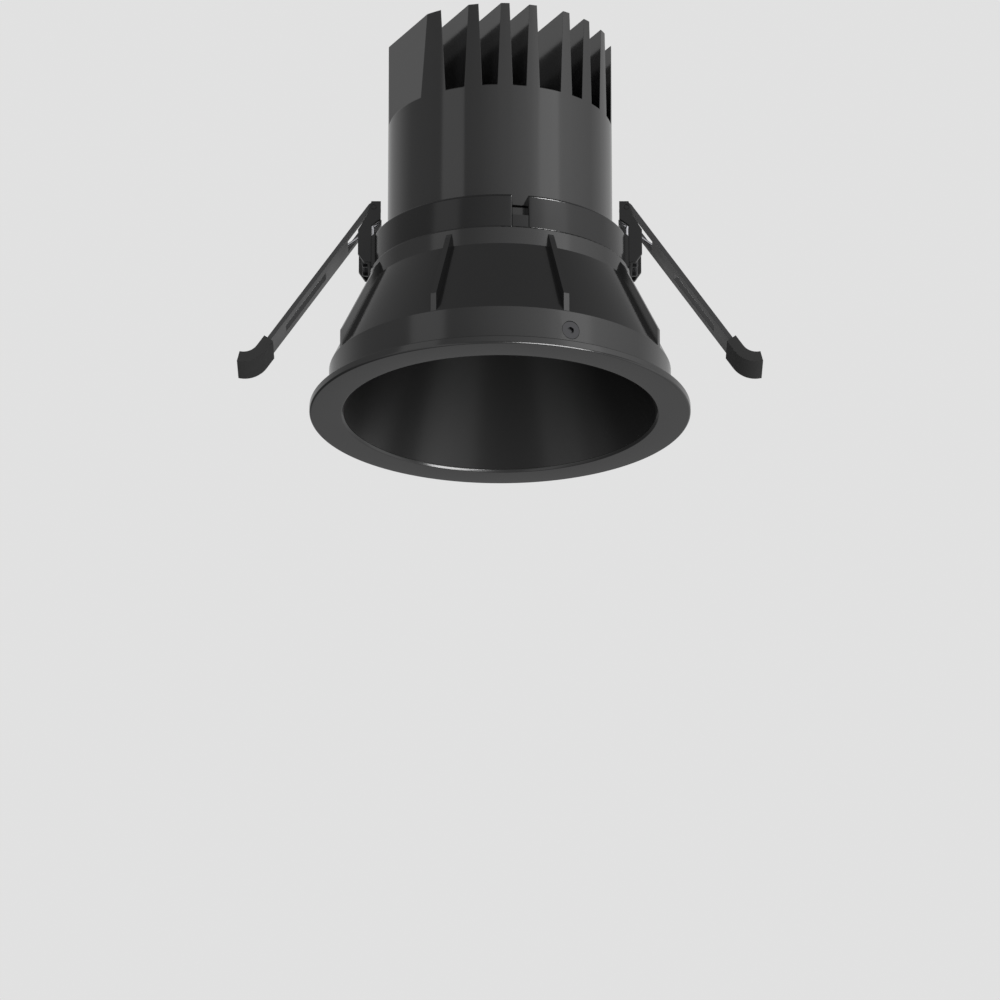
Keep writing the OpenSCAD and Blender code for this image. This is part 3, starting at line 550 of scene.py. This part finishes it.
collar_wall, top_round, bore_round = 0.00455, 0.001, 0.0003
notch_azimuth, notch_half_width, notch_depth, notch_round = 9.1, 0.0025, 0.007, 0.0005
lug_gap, lug_sunk, lug_chamfer = 0.0002, 0.003, 0.0008
collar_low, collar_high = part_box("collar_ring")
collar_out, collar_top = collar_high.y, collar_high.z
collar_in = collar_out - collar_wall
collar_outline = rounded([
    (collar_in, collar_low.z, 0), (collar_out, collar_low.z, 0), (collar_out, collar_top, top_round),
    (collar_in, collar_top, bore_round)], steps=12)
ring = notched(collar_outline, math.radians(notch_azimuth - 90), math.asin(notch_half_width / collar_out),
               collar_top - notch_depth, notch_round / collar_out)
collar_points, collar_faces = [ring.reshape(-1, 3)], grid_faces(*ring.shape[:2])
lug_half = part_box("clip_bracket_right")[1].y + lug_gap
for side in (-1, 1):
    corners, faces = lug(side, lug_half, collar_out - lug_sunk, collar_high.x, collar_low.z, collar_top,
                         lug_chamfer)
    start = sum(len(part) for part in collar_points)
    collar_points.append(corners)
    collar_faces += [[start + i for i in face] for face in faces]
collar = place_piece("collar_ring_turned", np.concatenate(collar_points), collar_faces, collar_coat,
                     "collar_ring", body="lamp")
light_only(above_light, collar)

# ---- Light engine ----
# A white board with a yellow disc of diodes, held onto a grey heat pad by a white moulded holder.
# The pressed and silvered cup below it gathers the light into the cone.

heat_pad = finish_from(coat_texture, "heat_pad", Colour=(0.45, 0.48, 0.55, 1), Roughness=0.7)
solder_mask = finish_from(coat_texture, "white_solder_mask", Colour=(0.80, 0.80, 0.78, 1), Roughness=0.35,
                          Mottle=0.03)
white_moulding = finish_from(coat_texture, "white_moulding", Colour=(0.78, 0.78, 0.76, 1), Roughness=0.4,
                             Mottle=0.03)
phosphor = finish_from(coat_texture, "phosphor_on_white_plate", Colour=(0.82, 0.82, 0.80, 1), Roughness=0.25,
                       Mottle=0.05)
silvered = finish_from(turned_texture, "silvered_cup", metallic=1.0, Colour=(0.88, 0.88, 0.90, 1),
                       Roughness=0.12, Streaks=0.05)


def colour_disc(material, radius, within, blur=0.0002):
    """Keeps the texture's colour outside a circle about the axis, |(x, y)| > radius, and gives another
    within it, with a blur between the two."""
    tree = material.node_tree
    skin = tree.nodes["Principled BSDF"]
    texture = next(node for node in tree.nodes if node.type == "GROUP")
    where, split, flat, length, edge, mix = add(
        tree, "TexCoord", "SeparateXYZ", "CombineXYZ", "VectorMath", "MapRange", "Mix")
    length.operation = "LENGTH"
    edge.inputs["From Min"].default_value = radius
    edge.inputs["From Max"].default_value = radius - blur
    mix.data_type = "RGBA"
    colours = [socket for socket in mix.inputs if socket.type == "RGBA"]
    colours[1].default_value = within
    mixed = next(socket for socket in mix.outputs if socket.type == "RGBA")
    wire(tree,
         (where.outputs["Object"], split.inputs[0]), (split.outputs["X"], flat.inputs["X"]),
         (split.outputs["Y"], flat.inputs["Y"]), (flat.outputs[0], length.inputs[0]),
         (length.outputs["Value"], edge.inputs["Value"]), (edge.outputs["Result"], mix.inputs["Factor"]),
         (texture.outputs["Colour"], colours[0]), (mixed, skin.inputs["Base Color"]))


def faceted_cup(top_z, height, top_r, foot_r, wall, columns=36, rows=8, fine=5, bend=0.62, swell=0.00022):
    """The cup's inner radius at the share t of its depth is top + (foot - top) t ^ bend, read at the rows'
    ends and straight between them. Each of the columns x rows cells swells inwards by
    swell (1 - u u) (1 - v v), with u and v from -1 to 1 across it. The outer wall is the plain curve a
    wall's thickness further out."""
    angle = np.linspace(0, 2 * np.pi, columns * fine, endpoint=False)[:, None]
    share = np.linspace(0, 1, rows * fine + 1)[None, :]
    ends = np.linspace(0, 1, rows + 1)
    curve = top_r + (foot_r - top_r) * ends ** bend
    u = 2 * ((angle * columns / (2 * np.pi)) % 1) - 1
    v = 2 * ((share * rows) % 1) - 1
    inner = np.interp(share[0], ends, curve)[None, :] - swell * (1 - u * u) * (1 - v * v)
    outer = np.broadcast_to(curve[::-1] + wall, (angle.size, rows + 1))
    r = np.concatenate([inner, outer], 1)
    z = top_z - height * np.concatenate([share[0], ends[::-1]])
    return np.stack([r * np.cos(angle), r * np.sin(angle), np.broadcast_to(z, r.shape)], -1)


phosphor_r = 0.0064
colour_disc(phosphor, phosphor_r, within=(0.78, 0.56, 0.13, 1))
dress(heat_pad, "thermal_pad")
dress(solder_mask, "led_board")
dress(white_moulding, "led_holder")
dress(phosphor, "led_emitter")

cup_neck_r, cup_rim, cup_wall = 0.0092, 0.001, 0.00098
cup_low, cup_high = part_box("optic_cup")
cup = faceted_cup(cup_high.z, cup_high.z - cup_low.z, cup_neck_r, cup_high.x - cup_rim, cup_wall)
cup_faces = grid_faces(*cup.shape[:2])
place_piece("optic_cup_faceted", cup, cup_faces, silvered, "optic_cup", body="lamp", crease=8)

# ---- Cable inlet ----
# A black nylon gland screwed into the heat sink's back.
# Its dome nut squeezes a rubber seal onto the cable.


def soften_edges(width, *names):
    """Rounds the sharp edges of the named nodes, as a moulding's are."""
    for name in names:
        weld = nodes[name].modifiers.new("joined", "WELD")
        weld.merge_threshold = 1e-6
        bevel = nodes[name].modifiers.new("rounded", "BEVEL")
        bevel.width = width
        bevel.segments = 2
        bevel.limit_method = "ANGLE"
        bevel.angle_limit = math.radians(40)
        bevel.harden_normals = True


nylon = finish_from(coat_texture, "nylon_moulding", Colour=(0.022, 0.022, 0.023, 1), Roughness=0.5,
                    Peel_depth=0.5)
moulded_round = 0.0003
dress(nylon, "gland_body", "gland_nut")
dress(seal_rubber, "gland_seal")
soften_edges(moulded_round, "gland_body", "gland_nut")

# ---- Ceiling clips ----
# Bent steel arms, coated black, on pins in screwed brackets, each pressed down by a wound torsion spring.
# A rubber boot on the arm's foot grips the ceiling board.

black_steel = finish_from(coat_texture, "black_sheet_steel", edge=0.0001, Colour=(0.026, 0.026, 0.027, 1),
                          Roughness=0.38, Peel_depth=0.15)
matt_steel = finish_from(coat_texture, "matt_sheet_steel", edge=0.0004, specular=0.32,
                         Colour=(0.008, 0.008, 0.0085, 1), Roughness=0.3, Peel_depth=0.15)
boot_rubber = finish_from(coat_texture, "boot_rubber", Colour=(0.016, 0.016, 0.016, 1), Roughness=0.7,
                          Peel_depth=0.5)
spring_steel = finish_from(coat_texture, "spring_steel", metallic=1.0, Colour=(0.42, 0.42, 0.44, 1),
                           Roughness=0.3)
dress(black_zinc, "bracket_screws")


def wire_path(sign, pin, turns, coil_r, half_coil, behind, lean, over, along_arm,
              turn_steps=480, steps=700, window=15):
    """The centre of the spring's wire: up through the points (x, z) behind the web, round the pin in a helix
    that moves along it at an even rate from one turn to the other, in degrees, and down over the arm. A
    point u along the arm is (u sin t + v cos t, v sin t - u cos t) from the pin, with v over it and t its
    lean. The joins are rounded by evening the path out over a window of its steps."""
    turn = np.radians(np.linspace(*turns, turn_steps))
    along_pin = np.linspace(-half_coil, half_coil, turn_steps)
    helix = np.stack([coil_r * np.cos(turn), along_pin, coil_r * np.sin(turn)], 1)
    rise = [(x, -half_coil, z) for x, z in behind]
    sine, cosine = math.sin(lean), math.cos(lean)
    on_arm = [(u * sine + over * cosine, half_coil, over * sine - u * cosine) for u in along_arm]
    path = np.concatenate([rise, helix, on_arm])
    run = np.concatenate([[0], np.cumsum(np.linalg.norm(np.diff(path, axis=0), axis=1))])
    even = np.linspace(0, run[-1], steps)
    path = np.stack([np.interp(even, run, path[:, i]) for i in range(3)], 1)
    weights = np.hanning(window) / np.hanning(window).sum()
    inner = np.stack([np.convolve(path[:, i], weights, "valid") for i in range(3)], 1)
    path = np.concatenate([path[:1], inner, path[-1:]])
    return np.stack([sign * (pin[0] + path[:, 0]), path[:, 1], pin[1] + path[:, 2]], 1)


def tube(path, radius, sides=14, tip=0.35, tip_r=0.75):
    """A round wire: at each point of the path, a circle in the plane of the two directions square to the
    path, the first of them square to the pin as well. Past either end comes a smaller circle, tip radii
    further on."""
    along = np.gradient(path, axis=0)
    along /= np.linalg.norm(along, axis=1, keepdims=True)
    across = np.cross(along, [0, 1, 0])
    across /= np.linalg.norm(across, axis=1, keepdims=True)
    third = np.cross(across, along)
    angle = np.linspace(0, 2 * np.pi, sides, endpoint=False)[None, :, None]
    rings = path[:, None] + radius * (np.cos(angle) * across[:, None] + np.sin(angle) * third[:, None])
    first = path[0] + (rings[0] - path[0]) * tip_r - along[0] * radius * tip
    last = path[-1] + (rings[-1] - path[-1]) * tip_r + along[-1] * radius * tip
    rings = np.concatenate([first[None], rings, last[None]])
    end = (len(rings) - 1) * sides
    faces = grid_faces(len(rings), sides, round_rows=False)
    return rings, faces + [list(range(sides)), list(range(end + sides - 1, end - 1, -1))]


wire_r, spring_pitch, spring_turns = 0.00045, 0.00135, 5
pin_gap, rub_gap = 0.0003, 0.00005
arm_tilt, spring_lean, first_turn = 34.78, 20, -10.3
wire_foot, wire_shoulder = 0.001, 0.0036
leg_from, leg_to = 0.013, 0.020
pin_low, pin_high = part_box("clip_pin_right")
pin = ((pin_low.x + pin_high.x) / 2, (pin_low.z + pin_high.z) / 2)
pin_r = (pin_high.x - pin_low.x) / 2
eye_r = pin[0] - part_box("clip_arm_right")[0].x
half_coil = spring_turns * spring_pitch / 2
last_turn = 180 + arm_tilt + spring_lean + 360 * (spring_turns - 1)
back_x = collar_high.x - pin[0] - wire_r - rub_gap
behind = [(back_x, collar_top - pin[1] + rise) for rise in (wire_foot, wire_shoulder)]
for side, sign in (("left", -1), ("right", 1)):
    path = wire_path(sign, pin, (first_turn, last_turn), pin_r + pin_gap + wire_r, half_coil, behind,
                     math.radians(arm_tilt), eye_r + wire_r + rub_gap, (leg_from, leg_to))
    rings, faces = tube(path, wire_r)
    spring = place_piece("clip_spring_wire_" + side, rings, faces, spring_steel,
                         "clip_spring_" + side)
    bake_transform(spring)
    spring.visible_glossy = False
    dress(black_steel, "clip_arm_" + side)
    dress(matt_steel, "clip_bracket_" + side, "clip_pin_" + side)
    dress(boot_rubber, "clip_pad_" + side)
    for part in ("bracket", "pin", "arm", "pad"):
        nodes["clip_" + part + "_" + side].visible_glossy = False
